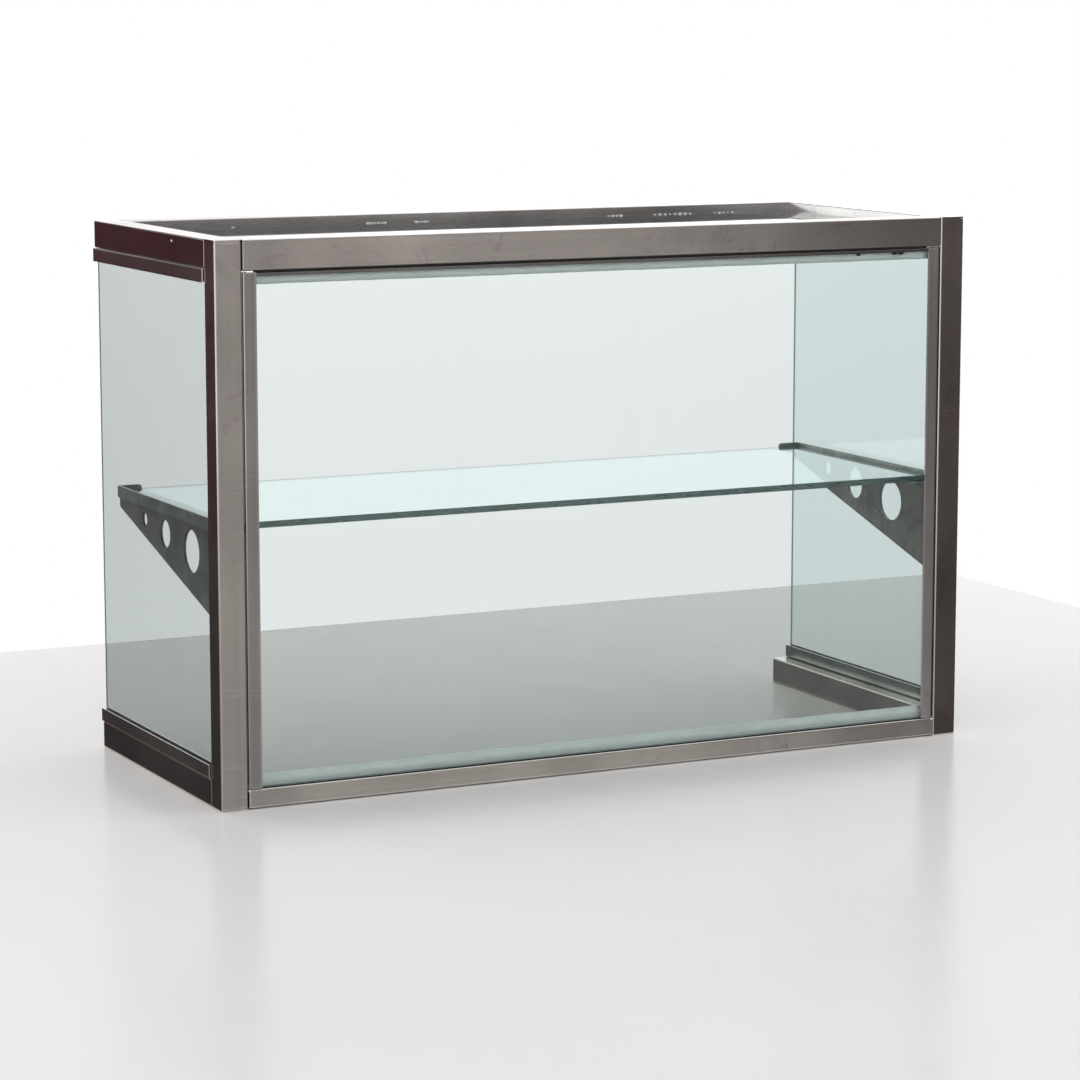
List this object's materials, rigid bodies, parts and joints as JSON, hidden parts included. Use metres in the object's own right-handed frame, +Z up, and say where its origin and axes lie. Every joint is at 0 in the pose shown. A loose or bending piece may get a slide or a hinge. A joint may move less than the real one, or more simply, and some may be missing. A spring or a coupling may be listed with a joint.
{
  "type": "glass display showcase",
  "caption": "Counter-top glass display case: brushed steel tube frame, panes on front, sides and top, open back, and a lift-out glass shelf on pierced triangular brackets.",
  "frame": {"origin": "middle of the case at the bottom, on the surface that it stands on", "axes": "+X along the width, to the right seen from the front; +Y from the front pane to the open back; +Z up"},
  "size_m": [0.914, 0.37, 0.6],
  "materials": {
    "frame_steel": "satin, brushed along each tube, darkened by age",
    "channel_steel": "satin",
    "bracket_steel": "dull, darker than the frame",
    "gasket_rubber": "matt black",
    "clear_sealant": "cloudy translucent sealant",
    "bedding_tape": "matt grey foam tape",
    "pane_glass": "clear float glass with a green tint, ground edges",
    "shelf_glass": "clear float glass with a dark green ground edge"
  },
  "bodies": {
    "case": {"base_rail_end_left": "frame_steel", "base_rail_end_right": "frame_steel", "base_rail_front": "frame_steel", "base_rail_left": "frame_steel", "base_rail_right": "frame_steel", "bracket_angle_left": "bracket_steel", "bracket_angle_right": "bracket_steel", "bracket_gusset_left": "bracket_steel", "bracket_gusset_right": "bracket_steel", "channel_base_left": "channel_steel", "channel_base_right": "channel_steel", "channel_front_left": "channel_steel", "channel_front_right": "channel_steel", "channel_front_top": "channel_steel", "channel_top_left": "channel_steel", "channel_top_right": "channel_steel", "front_packing_strip": "gasket_rubber", "front_seal_base": "clear_sealant", "front_seal_top": "clear_sealant", "front_setting_strip": "gasket_rubber", "gasket_base_left": "gasket_rubber", "gasket_base_right": "gasket_rubber", "gasket_front_left": "gasket_rubber", "gasket_front_right": "gasket_rubber", "gasket_top_left": "gasket_rubber", "gasket_top_right": "gasket_rubber", "glass_front": "pane_glass", "glass_left": "pane_glass", "glass_right": "pane_glass", "glass_top": "pane_glass", "post_cap_left": "frame_steel", "post_cap_right": "frame_steel", "post_foot_left": "frame_steel", "post_foot_right": "frame_steel", "post_left": "frame_steel", "post_right": "frame_steel", "top_bedding_tape": "bedding_tape", "top_ledge_front": "channel_steel", "top_ledge_left": "channel_steel", "top_ledge_rear": "channel_steel", "top_ledge_right": "channel_steel", "top_rail_end_left": "frame_steel", "top_rail_end_right": "frame_steel", "top_rail_front": "frame_steel", "top_rail_left": "frame_steel", "top_rail_rear": "frame_steel", "top_rail_right": "frame_steel", "top_sealant": "clear_sealant"},
    "shelf": {"glass_shelf": "shelf_glass"}
  },
  "joints": [
    {"name": "shelf_lift", "type": "slide", "parent": "case", "child": "shelf", "axis": [0, 0, 1], "range_m": [0, 0.03]}
  ]
}
